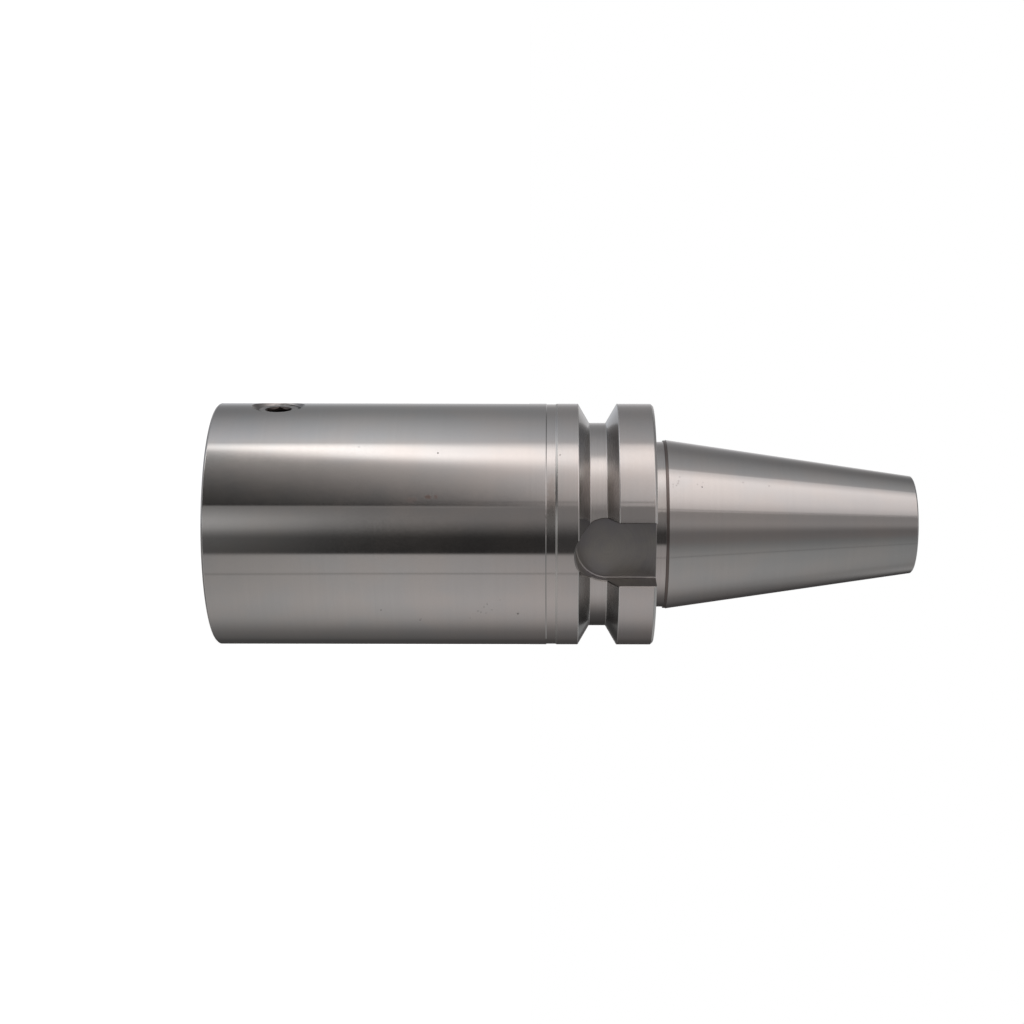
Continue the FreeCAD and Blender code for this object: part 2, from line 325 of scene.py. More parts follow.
body_pits = [p for p in PITS if p[2] < 86]
flange_pits = [p for p in PITS if 86 < p[2] < 93]
taper_pits = [p for p in PITS if p[2] > 116]
MAT = {
    "body": steel("steel_ground_body", 0.11, 0.90, scuff=0.5, pits=body_pits, scuffs=[p for p in SCUFFS if p[2] < 86], stains_and_painted_shade=(
        (-13.60, -28.41, 52.10, 1.5, 0.95, 0.34, RUST), (-14.27, -28.08, 56.20, 1.1, 0.66, 0.72, RUST),
        (-14.27, -28.08, 58.05, 0.6, 0.64, 0.56, RUST), (-13.40, -28.51, 86.60, 1.5, 7.0, 0.34, BROWN),
        # the grey patch on the relief band is painted shade; the others are stains
        (-8.10, -30.28, 86.60, 1.6, 5.6, 0.80, RELIEF_SHADE_GREY))),
    "flange": steel("steel_turned_flange", 0.12, 0.88, metallic=0.93, pits=flange_pits),
    # The groove, flank and collar are darkened on their downward side: painted shade.
    "groove": steel("steel_turned_groove", 0.20, 0.80, ring_scale=4200.0, ring_tint=0.035, ring_bump=0.3, painted_shade_below=0.62),
    "flank": steel("steel_turned_flank", 0.20, 0.6, base=(0.50, 0.485, 0.475), ring_scale=4200.0, ring_tint=0.03, painted_shade_below=0.48),
    # Edge finish: real roundings, with a brighter base colour that is a painted highlight.
    "edge": steel("steel_edge_painted_highlight", 0.33, 0.3, base=(0.80, 0.785, 0.77)),
    "step": steel("steel_turned_step", 0.33, 0.3, base=(0.66, 0.645, 0.63)),
    "collar": steel("steel_turned_collar", 0.12, 0.85, base=(0.575, 0.562, 0.55), metallic=0.96, ring_scale=4200.0, ring_tint=0.04, painted_shade_below=0.3),
    # The land is darker and browner than the collar.
    "land": steel("steel_dark_land", 0.35, 0.5, base=(0.22, 0.19, 0.18)),
    "taper": steel("steel_ground_taper", 0.13, 0.88, pits=taper_pits, scuffs=[p for p in SCUFFS if p[2] > 116]),
    "face": steel("steel_ground_face", 0.30, 0.5, ring_scale=1500.0),
    "bore": steel("steel_ground_bore", 0.24, 0.7, base=(0.55, 0.54, 0.53)),
    "sink": steel("steel_countersink", 0.32, 0.2, base=(0.45, 0.435, 0.43)),
    "thread": steel("steel_cut_thread", 0.36, 0.3, base=(0.42, 0.41, 0.40), ring_tint=0.03),
    "slot": milled("steel_milled_slot"),
    "rim": steel("steel_broken_rim", 0.35, 0.2, base=(0.33, 0.32, 0.31)),
}
MAT_NAMES = list(MAT)
SCREW_MAT = black_oxide("screw_black_oxide")


# ---------------------------------------------------------------- shank profile
def thread_height(s):
    """Height of a 60 degree thread over its root, 0 to 1, at turn fraction s, with flats at root and crest."""
    d = np.abs((np.asarray(s) % 1.0) - 0.5)
    return np.clip((0.375 - d) / (0.375 - 0.0625), 0.0, 1.0)


tan30 = math.tan(math.radians(30))
gh = GROOVE_BOTTOM_W / 2
gt = gh + (BODY_R - GROOVE_BOTTOM_R) * tan30
rel_r = BODY_R - RELIEF_DEPTH
end_r = taper_r(TOTAL_L)
stud_lo, stud_hi = TOTAL_L - STUD_DEPTH, TOTAL_L - PILOT_DEPTH - (PILOT_R - STUD_R)

# Corners in order, outside first: radius, z, rounding, the finish of the run that follows, and of the
# rounding itself where it takes the brighter edge finish, a painted highlight.
CORNERS = [
    (BORE_R + BORE_CHAMFER, 0.0, 0.12, "face"),
    (BODY_R - 0.5, 0.0, 0.25, "face"),
    (BODY_R, 0.5, 0.35, "body"),
    (BODY_R, BODY_END_Z - 0.20, 0.15, "body"),
    (rel_r, BODY_END_Z, 0.10, "body"),
    (rel_r, RELIEF_END_Z, 0.30, "step"),
    (BODY_R, RELIEF_END_Z + RELIEF_RISE, 0.30, "flange"),
    (BODY_R, GROOVE_Z - gt - 0.02, 0.28, "flank", "edge"),
    (GROOVE_BOTTOM_R, GROOVE_Z - gh, 0.22, "groove", "edge"),
    (GROOVE_BOTTOM_R, GROOVE_Z + gh, 0.22, "flank", "edge"),
    (BODY_R, GROOVE_Z + gt + 0.02, 0.28, "flange", "edge"),
    (BODY_R, FLANGE_END_Z - FLANGE_BREAK, 0.35, "edge"),
    (BODY_R - FLANGE_BREAK, FLANGE_END_Z, 0.25, "face"),
    (COLLAR_R, FLANGE_END_Z, 0.20, "collar"),
    (COLLAR_R, LAND_START_Z, 0.06, "land"),
    (LAND_R, LAND_START_Z, 0.06, "land"),
    (LAND_R, LAND_END_Z, 0.04, "land"),
    (taper_r(LAND_END_Z), LAND_END_Z, 0.04, "taper"),
    (taper_r(TOTAL_L - END_BREAK), TOTAL_L - END_BREAK, 0.25, "taper"),
    (end_r - END_BREAK, TOTAL_L, 0.15, "face"),
    (PILOT_R + 0.6, TOTAL_L, 0.12, "bore"),
    (PILOT_R, TOTAL_L - 0.6, 0.15, "bore"),
    (PILOT_R, TOTAL_L - PILOT_DEPTH, 0.0, "thread"),
    (STUD_R, stud_hi, 0.0, "thread"),
    (STUD_R, stud_lo, 0.0, "thread"),
    (DRILL_R, stud_lo - (STUD_R - DRILL_R), 0.0, "thread"),
    (DRILL_R, TOTAL_L - DRILL_DEPTH, 0.0, "thread"),
    (PASSAGE_R, TOTAL_L - DRILL_DEPTH - (DRILL_R - PASSAGE_R), 0.1, "thread"),
    (PASSAGE_R, BORE_DEPTH + 0.8, 0.2, "thread"),
    (PASSAGE_R + 0.8, BORE_DEPTH, 0.15, "bore"),
    (BORE_R, BORE_DEPTH, 0.3, "bore"),
    (BORE_R, BORE_CHAMFER, 0.2, "bore"),
]


def rounded_profile(corners, steps=4):
    """Profile points with rounded corners. Returns points [(r, z)], and for each run from point i to i + 1
    its finish and the outward directions at its two ends."""
    pts, runs = [], []
    n = len(corners)
    cut = []
    for i in range(n):
        a, p, b = (np.array(corners[k % n][:2]) for k in (i - 1, i, i + 1))
        d1, d2 = (p - a) / np.linalg.norm(p - a), (b - p) / np.linalg.norm(b - p)
        turn = math.acos(max(-1.0, min(1.0, float(d1 @ d2))))
        rho = corners[i][2]
        t = rho * math.tan(turn / 2)
        t = min(t, 0.45 * np.linalg.norm(p - a), 0.45 * np.linalg.norm(b - p))
        cut.append((d1, d2, turn, t))
    out = []
    for i in range(n):
        p = np.array(corners[i][:2])
        d1, d2, turn, t = cut[i]
        n1, n2 = np.array([d1[1], -d1[0]]), np.array([d2[1], -d2[0]])
        name_before, name = corners[i - 1][3], corners[i][3]
        if corners[i][2] > 0 and turn > 1e-3 and t > 1e-4:
            rho = t / math.tan(turn / 2)
            a0 = p - d1 * t
            side = 1.0 if d1[0] * d2[1] - d1[1] * d2[0] > 0 else -1.0   # left turn: the arc's centre is on the left
            left1 = np.array([-d1[1], d1[0]])
            centre = a0 + left1 * side * rho
            for k in range(steps + 1):
                ang = side * turn * k / steps
                v = a0 - centre
                c, s = math.cos(ang), math.sin(ang)
                q = centre + np.array([c * v[0] - s * v[1], s * v[0] + c * v[1]])
                nn = np.array([c * n1[0] - s * n1[1], s * n1[0] + c * n1[1]])
                # the finish of an arc's first half belongs to the run before it
                arc_name = name_before if k < steps / 2 else name
                if len(corners[i]) > 4 and k < steps:
                    arc_name = corners[i][4]
                out.append((q, nn, arc_name, "arc" if k < steps else "run"))
        else:
            out.append((p, n1, name_before, "corner"))
            out[-1] = (p, n2, name, "run")
    return out


def shank_rows():
    """Rows of the surface of revolution: (r, z, thread?), and the runs between rows."""
    prof = rounded_profile(CORNERS)
    rows, runs = [], []
    n = len(prof)
    for i in range(n):
        (p, nn, name, kind), (q, nq, _, kq) = prof[i], prof[(i + 1) % n]
        d = q - p
        length = float(np.linalg.norm(d))
        if kind == "arc":
            rows.append((p[0], p[1]))
            runs.append((name, nn, nq))
            continue
        flat = np.array([d[1], -d[0]]) / length
        threaded = abs(p[0] - STUD_R) < 1e-6 and abs(q[0] - STUD_R) < 1e-6
        parts = int(math.ceil(length / (STUD_PITCH / 8))) if threaded else max(1, int(math.ceil(length / 9.0)))
        for k in range(parts):
            c = p + d * k / parts
            rows.append((c[0], c[1]))
            runs.append(("tap" if threaded else name, flat, flat))
    return rows, runs


SEGS = 256
rows, runs = shank_rows()
row_r = np.array([r for r, _ in rows])
row_z = np.array([z for _, z in rows])


def stud_hole_r(angle, z):
    """Radius of the tapped hole's wall: the thread runs in at both ends."""
    h = thread_height(z / STUD_PITCH - angle / (2 * math.pi))
    fade = np.clip(np.minimum((z - stud_lo) / 1.2, (stud_hi - z) / 1.0), 0.0, 1.0)
    return STUD_R - (STUD_R - STUD_CREST_R) * h * fade


tap_row = np.zeros(len(rows), bool)
for i, (name, _, _) in enumerate(runs):
    if name == "tap":
        tap_row[i] = True
angles = 2 * math.pi * np.arange(SEGS) / SEGS
radius = np.where(tap_row[:, None], stud_hole_r(angles[None, :], row_z[:, None]), row_r[:, None])
verts = np.stack([radius * np.cos(angles), radius * np.sin(angles), np.broadcast_to(row_z[:, None], radius.shape)], -1).reshape(-1, 3) * MM
faces, face_mat = [], []
for i in range(len(rows)):
    j = (i + 1) % len(rows)
    name = "thread" if runs[i][0] == "tap" else runs[i][0]
    for k in range(SEGS):
        k2 = (k + 1) % SEGS
        faces.append((i * SEGS + k, i * SEGS + k2, j * SEGS + k2, j * SEGS + k))
    face_mat += [MAT_NAMES.index(name)] * SEGS
shank_mesh = bpy.data.meshes.new("steel_shank")
shank_mesh.from_pydata(verts.tolist(), [], faces)
for name in MAT_NAMES:
    shank_mesh.materials.append(MAT[name])
shank_mesh.polygons.foreach_set("material_index", face_mat)
shank_mesh.update()
shank = bpy.data.objects.new("steel_shank", shank_mesh)
bpy.context.scene.collection.objects.link(shank)


def mesh_object(name, verts, faces, mats, mat_index=None):
    me = bpy.data.meshes.new(name)
    me.from_pydata([(x * MM, y * MM, z * MM) for x, y, z in verts], [], faces)
    for m in mats:
        me.materials.append(m)
    if mat_index is not None:
        me.polygons.foreach_set("material_index", mat_index)
    me.update()
    o = bpy.data.objects.new(name, me)
    bpy.context.scene.collection.objects.link(o)
    return o


def flange_r(z):
    """Radius of the flange's outside, V groove included."""
    return min(BODY_R, max(GROOVE_BOTTOM_R, BODY_R - (gt - abs(z - GROOVE_Z)) / tan30))


def rim_break(z):
    """Width of the break along the slot's rim; the groove's front flank meets the wall bluntly and has none."""
    far_side, near_side = GROOVE_Z - gh, GROOVE_Z - gt
    f = min(1.0, max(0.0, (z - near_side + 0.2) / 0.4)) * min(1.0, max(0.0, (far_side + 0.2 - z) / 0.4))
    return SLOT_BREAK * (1.0 - 0.85 * f)


def slot_cutter(sign):
    """Slot-shaped prism on the +Y or -Y side, rounded where the floor meets the walls and flared at the rim."""
    hw, arc_n = SLOT_W / 2, 48
    zs = [TOTAL_L - 40.0, FLANGE_END_Z + 0.5, FLANGE_END_Z - FLANGE_BREAK, GROOVE_Z + gt + 0.3, GROOVE_Z + gt,
          GROOVE_Z + gt - 1.4, SLOT_ROUND_Z]
    path = [(hw, z, 1.0, 0.0) for z in zs]
    for k in range(1, arc_n):
        a = math.pi * k / arc_n
        path.append((hw * math.cos(a), SLOT_ROUND_Z - hw * math.sin(a), math.cos(a), -math.sin(a)))
    path += [(-hw, z, -1.0, 0.0) for z in reversed(zs)]
    top = [math.sqrt(flange_r(z) ** 2 - x * x) for x, z, _, _ in path]
    width = [rim_break(z) for _, z, _, _ in path]
    n = len(path)
    levels = []
    for k in range(7):
        a = math.pi / 2 * k / 6
        levels.append(([SLOT_FILLET * (1 - math.sin(a))] * n, [SLOT_FLOOR + SLOT_FILLET * (1 - math.cos(a))] * n))
    levels.append(([0.0] * n, [h - w for h, w in zip(top, width)]))
    levels.append(([-1.5 * w for w in width], [h + 0.5 * w for h, w in zip(top, width)]))
    levels.append(([-1.5 * w for w in width], [36.0] * n))
    vs, fs, mi, loops = [], [], [], []
    for inset, depth in levels:
        start = len(vs)
        vs += [(x - dx * i, sign * d, z - dz * i) for (x, z, dx, dz), i, d in zip(path, inset, depth)]
        loops.append(list(range(start, start + n)))
    for level, (a, b) in enumerate(zip(loops, loops[1:])):
        flared = level == len(loops) - 3
        for k in range(n):
            k2 = (k + 1) % n
            if flared:
                fs += [(a[k], a[k2], b[k2]), (a[k], b[k2], b[k])]
                mi += [1, 1]
            else:
                fs.append((a[k], a[k2], b[k2], b[k]))
                mi.append(0)
    fs += [tuple(loops[0]), tuple(loops[-1])]
    mi += [0, 0]
    o = mesh_object("slot_cutter", vs, fs, [MAT["slot"], MAT["rim"]], mi)
    bm = bmesh.new()
    bm.from_mesh(o.data)
    bmesh.ops.recalc_face_normals(bm, faces=bm.faces)
    bm.to_mesh(o.data)
    bm.free()
    return o


def screw_hole_r(angle, x):
    """Radius of the clamp screw's tapped hole with its countersink."""
    h = thread_height(x / SCREW_PITCH - angle / (2 * math.pi))
    r = np.maximum(5.05, SCREW_ROOT_R + (SCREW_CREST_R - SCREW_ROOT_R) * h + 0.05)
    return np.maximum(r, SCREW_SINK_R + (-BODY_R - x))


def along_x(radius, x0, x1, step, segs, name, mats, split=None):
    """Closed solid about the clamp screw's axis: radius(angle, x), flat ends. Before x = split the second finish."""
    n = int(math.ceil((x1 - x0) / step))
    fs = []
    x = x0 + (x1 - x0) * np.arange(n + 1)[:, None] / n
    a = 2 * math.pi * np.arange(segs)[None, :] / segs
    r = radius(a, x) + 0.0 * (a + x)
    vs = np.stack([x + 0.0 * r, r * np.cos(a), SCREW_Z + r * np.sin(a)], -1).reshape(-1, 3).tolist()
    for i in range(n):
        for k in range(segs):
            k2 = (k + 1) % segs
            fs.append((i * segs + k, i * segs + k2, (i + 1) * segs + k2, (i + 1) * segs + k))
    fs.append(tuple(range(segs))[::-1])
    fs.append(tuple(n * segs + k for k in range(segs)))
    mi = None
    if split is not None:
        mi = [int(x[i // segs, 0] < split) for i in range(n * segs)] + [0, 0]
    o = mesh_object(name, vs, fs, mats, mi)
    bm = bmesh.new()
    bm.from_mesh(o.data)
    bmesh.ops.recalc_face_normals(bm, faces=bm.faces)
    bm.to_mesh(o.data)
    bm.free()
    return o


def cut(target, cutters):
    """Boolean difference with exact arithmetic, applied; the cutters, clear of each other, are joined first."""
    first = cutters[0]
    bm = bmesh.new()
    mats = []
    for c in cutters:
        part = c.data
        for m in part.materials:
            if m not in mats:
                mats.append(m)
        before = len(bm.faces)
        bm.from_mesh(part)
        bm.faces.ensure_lookup_table()
        for f in bm.faces[before:]:
            f.material_index = mats.index(part.materials[f.material_index])
    joined = bpy.data.meshes.new("joined_cutter")
    for m in mats:
        joined.materials.append(m)
    bm.to_mesh(joined)
    bm.free()
    first.data = joined
    mod = target.modifiers.new("cut", "BOOLEAN")
    mod.operation = "DIFFERENCE"
    mod.solver = "EXACT"
    mod.use_self = False
    mod.material_mode = "TRANSFER"
    mod.object = first
    dg = bpy.context.evaluated_depsgraph_get()
    me = bpy.data.meshes.new_from_object(target.evaluated_get(dg))
    target.modifiers.clear()
    target.data = me
    for c in cutters:
        bpy.data.objects.remove(c)


hole_cutter = along_x(screw_hole_r, -33.0, -16.0, SCREW_PITCH / 12, 96, "hole_cutter", [MAT["thread"], MAT["sink"]], -30.65)
cut(shank, [slot_cutter(-1), slot_cutter(1), hole_cutter])
shank.data.name = "steel_shank"

# ---------------------------------------------------------------- exact normals for the shank
# The surfaces are known in closed form, so each corner of each face gets the true normal.
me = shank.data
names = [m.name if m else "" for m in me.materials]
mat_of = {MAT[k].name: k for k in MAT}
seg_list = []
nrows = len(rows)
for i in range(nrows):
    j = (i + 1) % nrows
    name = "thread" if runs[i][0] == "tap" else runs[i][0]
    seg_list.append((row_r[i], row_z[i], row_r[j], row_z[j], runs[i][1], runs[i][2], name, runs[i][0] == "tap"))
seg_a = np.array([[s[0], s[1]] for s in seg_list])
seg_b = np.array([[s[2], s[3]] for s in seg_list])
seg_d = seg_b - seg_a
seg_len = np.maximum(np.linalg.norm(seg_d, axis=1), 1e-9)
seg_u = seg_d / seg_len[:, None]
seg_mid_n = np.array([(s[4] + s[5]) / np.linalg.norm(s[4] + s[5]) for s in seg_list])

co = np.zeros(len(me.vertices) * 3)
me.vertices.foreach_get("co", co)
co = co.reshape(-1, 3) / MM
n_poly = len(me.polygons)
poly_n = np.zeros(n_poly * 3)
me.polygons.foreach_get("normal", poly_n)
poly_n = poly_n.reshape(-1, 3)
poly_mat = np.zeros(n_poly, int)
me.polygons.foreach_get("material_index", poly_mat)
loop_total = np.zeros(n_poly, int)
me.polygons.foreach_get("loop_total", loop_total)
loop_v = np.zeros(len(me.loops), int)
me.loops.foreach_get("vertex_index", loop_v)
loop_poly = np.repeat(np.arange(n_poly), loop_total)
loop_p = co[loop_v]
poly_c = np.zeros((n_poly, 3))
np.add.at(poly_c, loop_poly, loop_p)
poly_c /= loop_total[:, None]
key_of = [mat_of.get(n, "body") for n in names]
is_slot = np.array([k == "slot" for k in key_of])[poly_mat]
is_rim = np.array([k == "rim" for k in key_of])[poly_mat]
is_hole = np.array([k in ("thread", "sink") for k in key_of])[poly_mat] & (poly_c[:, 0] < -14) & (poly_c[:, 2] < 24)
custom = poly_n[loop_poly].copy()


def unit(v):
    return v / np.maximum(np.linalg.norm(v, axis=-1, keepdims=True), 1e-12)


# Drive slots: floor, rounded corner and walls.
sel = is_slot[loop_poly]
p, fn = loop_p[sel], poly_n[loop_poly[sel]]
sign = np.where(p[:, 1] > 0, 1.0, -1.0)
away = np.stack([p[:, 0], np.minimum(p[:, 2] - SLOT_ROUND_Z, 0.0)], -1)
away = unit(np.where((p[:, 2] >= SLOT_ROUND_Z)[:, None], np.stack([np.sign(p[:, 0]), np.zeros(len(p))], -1), away))
up_part = np.clip(1.0 - (np.abs(p[:, 1]) - SLOT_FLOOR) / SLOT_FILLET, 0.0, 1.0)
up_part = np.where(np.abs(fn[:, 1]) > 0.999, 1.0, up_part)
out_part = np.sqrt(np.maximum(0.0, 1.0 - up_part ** 2))
custom[sel] = np.stack([-away[:, 0] * out_part, sign * up_part, -away[:, 1] * out_part], -1)

# Their broken rims: halfway between the wall and the outside.
sel = is_rim[loop_poly]
p, fn = loop_p[sel], poly_n[loop_poly[sel]]
away = np.stack([p[:, 0], np.minimum(p[:, 2] - SLOT_ROUND_Z, 0.0)], -1)
away = unit(np.where((p[:, 2] >= SLOT_ROUND_Z)[:, None], np.stack([np.sign(p[:, 0]), np.zeros(len(p))], -1), away))
v = unit(np.stack([-away[:, 0], np.where(p[:, 1] > 0, 1.0, -1.0), -away[:, 1]], -1))
custom[sel] = np.where(((v * fn).sum(-1) > 0.9)[:, None], v, fn)

# The clamp screw's tapped hole.
sel = is_hole[loop_poly]
p, fn = loop_p[sel], poly_n[loop_poly[sel]]
a, x, e = np.arctan2(p[:, 2] - SCREW_Z, p[:, 1]), p[:, 0], 1e-3
r = screw_hole_r(a, x)
da, dx = (screw_hole_r(a + e, x) - screw_hole_r(a - e, x)) / (2 * e), (screw_hole_r(a, x + e) - screw_hole_r(a, x - e)) / (2 * e)
zero = np.zeros(len(p))
v = -unit(np.stack([zero, np.cos(a), np.sin(a)], -1) - np.stack([zero, -np.sin(a), np.cos(a)], -1) * (da / r)[:, None] - np.stack([dx, zero, zero], -1))
custom[sel] = np.where(((v * fn).sum(-1) > 0.7)[:, None], v, fn)

# Everything turned: the profile's own normal, swept round.
turned = ~(is_slot | is_rim | is_hole)
ids = np.nonzero(turned)[0]
rc = np.hypot(poly_c[ids, 0], poly_c[ids, 1])
fr = (poly_n[ids, 0] * poly_c[ids, 0] + poly_n[ids, 1] * poly_c[ids, 1]) / np.maximum(rc, 1e-9)
q = np.stack([rc, poly_c[ids, 2]], -1)
flat_n = np.stack([fr, poly_n[ids, 2]], -1)
seg_of = np.zeros(n_poly, int)
for lo_i in range(0, len(ids), 4000):
    part = slice(lo_i, lo_i + 4000)
    rel = q[part][:, None, :] - seg_a[None]
    along = np.clip((rel * seg_u[None]).sum(-1), 0, seg_len[None])
    dist = np.linalg.norm(rel - seg_u[None] * along[..., None], axis=-1)
    seg_of[ids[part]] = np.argmin(dist + 0.5 * (1.0 - flat_n[part] @ seg_mid_n.T), axis=1)
sel = turned[loop_poly]
p, fn, k = loop_p[sel], poly_n[loop_poly[sel]], seg_of[loop_poly[sel]]
rp, a = np.hypot(p[:, 0], p[:, 1]), np.arctan2(p[:, 1], p[:, 0])
f = np.clip(((np.stack([rp, p[:, 2]], -1) - seg_a[k]) * seg_u[k]).sum(-1) / seg_len[k], 0, 1)[:, None]
n_start, n_end = np.array([s[4] for s in seg_list]), np.array([s[5] for s in seg_list])
n2 = unit(n_start[k] * (1 - f) + n_end[k] * f)
v = np.stack([n2[:, 0] * np.cos(a), n2[:, 0] * np.sin(a), n2[:, 1]], -1)
tapped = np.array([s[7] for s in seg_list])[k]
z = p[:, 2]
r = stud_hole_r(a, z)
da, dz = (stud_hole_r(a + e, z) - stud_hole_r(a - e, z)) / (2 * e), (stud_hole_r(a, z + e) - stud_hole_r(a, z - e)) / (2 * e)
zero = np.zeros(len(p))
w = -unit(np.stack([np.cos(a), np.sin(a), zero], -1) - np.stack([-np.sin(a), np.cos(a), zero], -1) * (da / r)[:, None] - np.stack([zero, zero, dz], -1))
w = np.where(((w * fn).sum(-1) > 0.6)[:, None], w, fn)
custom[sel] = np.where(tapped[:, None], w, v)
me.polygons.foreach_set("use_smooth", [True] * len(me.polygons))
me.normals_split_custom_set(custom.tolist())
me.update()

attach(shank, "shank_body")
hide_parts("shank")


# ---------------------------------------------------------------- clamp screw
def screw_r(angle, x):
    h = thread_height(x / SCREW_PITCH - angle / (2 * math.pi))
    r = SCREW_ROOT_R + (SCREW_CREST_R - SCREW_ROOT_R) * h
    r = np.minimum(r, SCREW_CREST_R - 0.9 + (x - SCREW_OUTER_X) * 1.0)
    return np.maximum(0.5, np.minimum(r, SCREW_TIP_R + (SCREW_TIP_X - x)))


screw = along_x(screw_r, SCREW_OUTER_X, SCREW_TIP_X, SCREW_PITCH / 14, 96, "clamp_set_screw", [SCREW_MAT])


def hex_cutter():
    """Hexagon prism with slightly rounded corners; its drilled bottom is cut by a separate cone."""
    corner_r = 0.25
    outline = []
    big = HEX_AF / math.sqrt(3)
    for k in range(6):
        a = math.radians(60 * k)
        for d in (-20, -10, 0, 10, 20):
            cx = (big - corner_r / math.cos(math.radians(30))) * math.cos(a)
            cy = (big - corner_r / math.cos(math.radians(30))) * math.sin(a)
            outline.append((cx + corner_r * math.cos(a + math.radians(d * 1.5)), cy + corner_r * math.sin(a + math.radians(d * 1.5))))
    vs, fs = [], []
    n = len(outline)
    for x, k in ((SCREW_OUTER_X - 1.0, 1.0), (SCREW_OUTER_X + HEX_DEPTH, 1.0)):
        vs += [(x, y * k, SCREW_Z + z * k) for y, z in outline]
    for k in range(n):
        k2 = (k + 1) % n
        fs.append((k, k2, n + k2, n + k))
    fs.append(tuple(range(n))[::-1])
    fs.append(tuple(n + k for k in range(n)))
    o = mesh_object("hex_cutter", vs, fs, [SCREW_MAT])
    bm = bmesh.new()
    bm.from_mesh(o.data)
    bmesh.ops.recalc_face_normals(bm, faces=bm.faces)
    bm.to_mesh(o.data)
    bm.free()
    return o


def cone_cutter(x0, r0, x1, r1, segs=64):
    return along_x(lambda a, x: r0 + (r1 - r0) * (x - x0) / (x1 - x0), x0, x1, (x1 - x0) / 1.0, segs, "cone_cutter", [SCREW_MAT])


sink = HEX_SINK_R - HEX_AF / 2
cut(screw, [hex_cutter()])
cut(screw, [cone_cutter(SCREW_OUTER_X - 0.5, HEX_SINK_R + 0.5, SCREW_OUTER_X + sink, HEX_AF / 2)])
cut(screw, [cone_cutter(SCREW_OUTER_X + HEX_DEPTH - 0.01, HEX_AF / 2 - 0.08, SCREW_OUTER_X + HEX_DEPTH + 1.15, 0.05)])
screw.data.name = "clamp_set_screw"
screw.data.polygons.foreach_set("use_smooth", [True] * len(screw.data.polygons))
screw.data.set_sharp_from_angle(angle=math.radians(32))
screw.data.update()
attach(screw, "screw_body")
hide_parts("clamp_screw")

# ---------------------------------------------------------------- floor
floor_mesh = bpy.data.meshes.new("studio_floor")
bm = bmesh.new()
bmesh.ops.create_grid(bm, x_segments=1, y_segments=1, size=6.0)
bm.to_mesh(floor_mesh)
bm.free()
floor = bpy.data.objects.new("studio_floor", floor_mesh)
bpy.context.scene.collection.objects.link(floor)
fm, ft = new_material("pale_floor")
t = Tree(ft)
diff = t.node("ShaderNodeBsdfDiffuse")
diff.inputs["Color"].default_value = (0.8, 0.8, 0.8, 1.0)
glow = t.node("ShaderNodeEmission")
glow.inputs["Color"].default_value = (1.0, 1.0, 1.0, 1.0)
glow.inputs["Strength"].default_value = 0.82
add = t.node("ShaderNodeAddShader")
t.put(add.inputs[0], diff.outputs[0])
t.put(add.inputs[1], glow.outputs[0])
out = t.node("ShaderNodeOutputMaterial")
t.put(out.inputs["Surface"], add.outputs[0])
floor_mesh.materials.append(fm)
floor.visible_glossy = False
floor.visible_diffuse = False

# ---------------------------------------------------------------- light
# A photographer's table laid out round the shank. Each card is a panel as wide as its two edge
# angles, measured round the shank's axis from the camera (0) over the top (90) to behind (180).
world = bpy.data.worlds.new("studio")
bpy.context.scene.world = world
world.use_nodes = True
wt = world.node_tree
for n in list(wt.nodes):
    wt.nodes.remove(n)
t = Tree(wt)
ray = t.node("ShaderNodeTexCoord").outputs["Generated"]
along = t.vmath("DOT_PRODUCT", ray, (RIGHT.x, RIGHT.y, RIGHT.z))
psi = t.math("DEGREES", t.math("ARCTAN2", t.vmath("DOT_PRODUCT", ray, (UP.x, UP.y, UP.z)),
                               t.vmath("DOT_PRODUCT", ray, (BACK.x, BACK.y, BACK.z))))
front = t.ramp(along, -0.17, -0.10, 0.0, 1.0, False)    # 0 over the front end
middle = t.ramp(along, -0.10, 0.04, 0.0, 1.0, False)    # 1 over the flange
far = t.ramp(along, 0.06, 0.36, 0.0, 1.0, False)        # 1 over the taper


def knots(a, b, c, d):
    """A value over the front end, the body, the flange and the taper."""
    v = a
    for fac, w in ((front, b), (middle, c), (far, d)):
        if isinstance(v, float) and v == w:
            continue
        v = t.mixf(fac, v, w)
    return v


def card(lo, lo_soft, hi, hi_soft, value_lo, value_hi, bend=None):
    """Light between two angles, graded from one edge to the other."""
    inside = t.math("MULTIPLY", t.ramp(psi, t.math("SUBTRACT", lo, lo_soft), t.math("ADD", lo, lo_soft)),
                    t.ramp(psi, t.math("SUBTRACT", hi, hi_soft), t.math("ADD", hi, hi_soft), 1.0, 0.0))
    f = t.ramp(psi, lo, hi, 0.0, 1.0, False)
    if bend is not None:
        f = t.math("POWER", f, bend)
    return t.math("MULTIPLY", inside, t.mixf(f, value_lo, value_hi))


past = t.ramp(along, -0.002, 0.014)    # 1 from the flange on
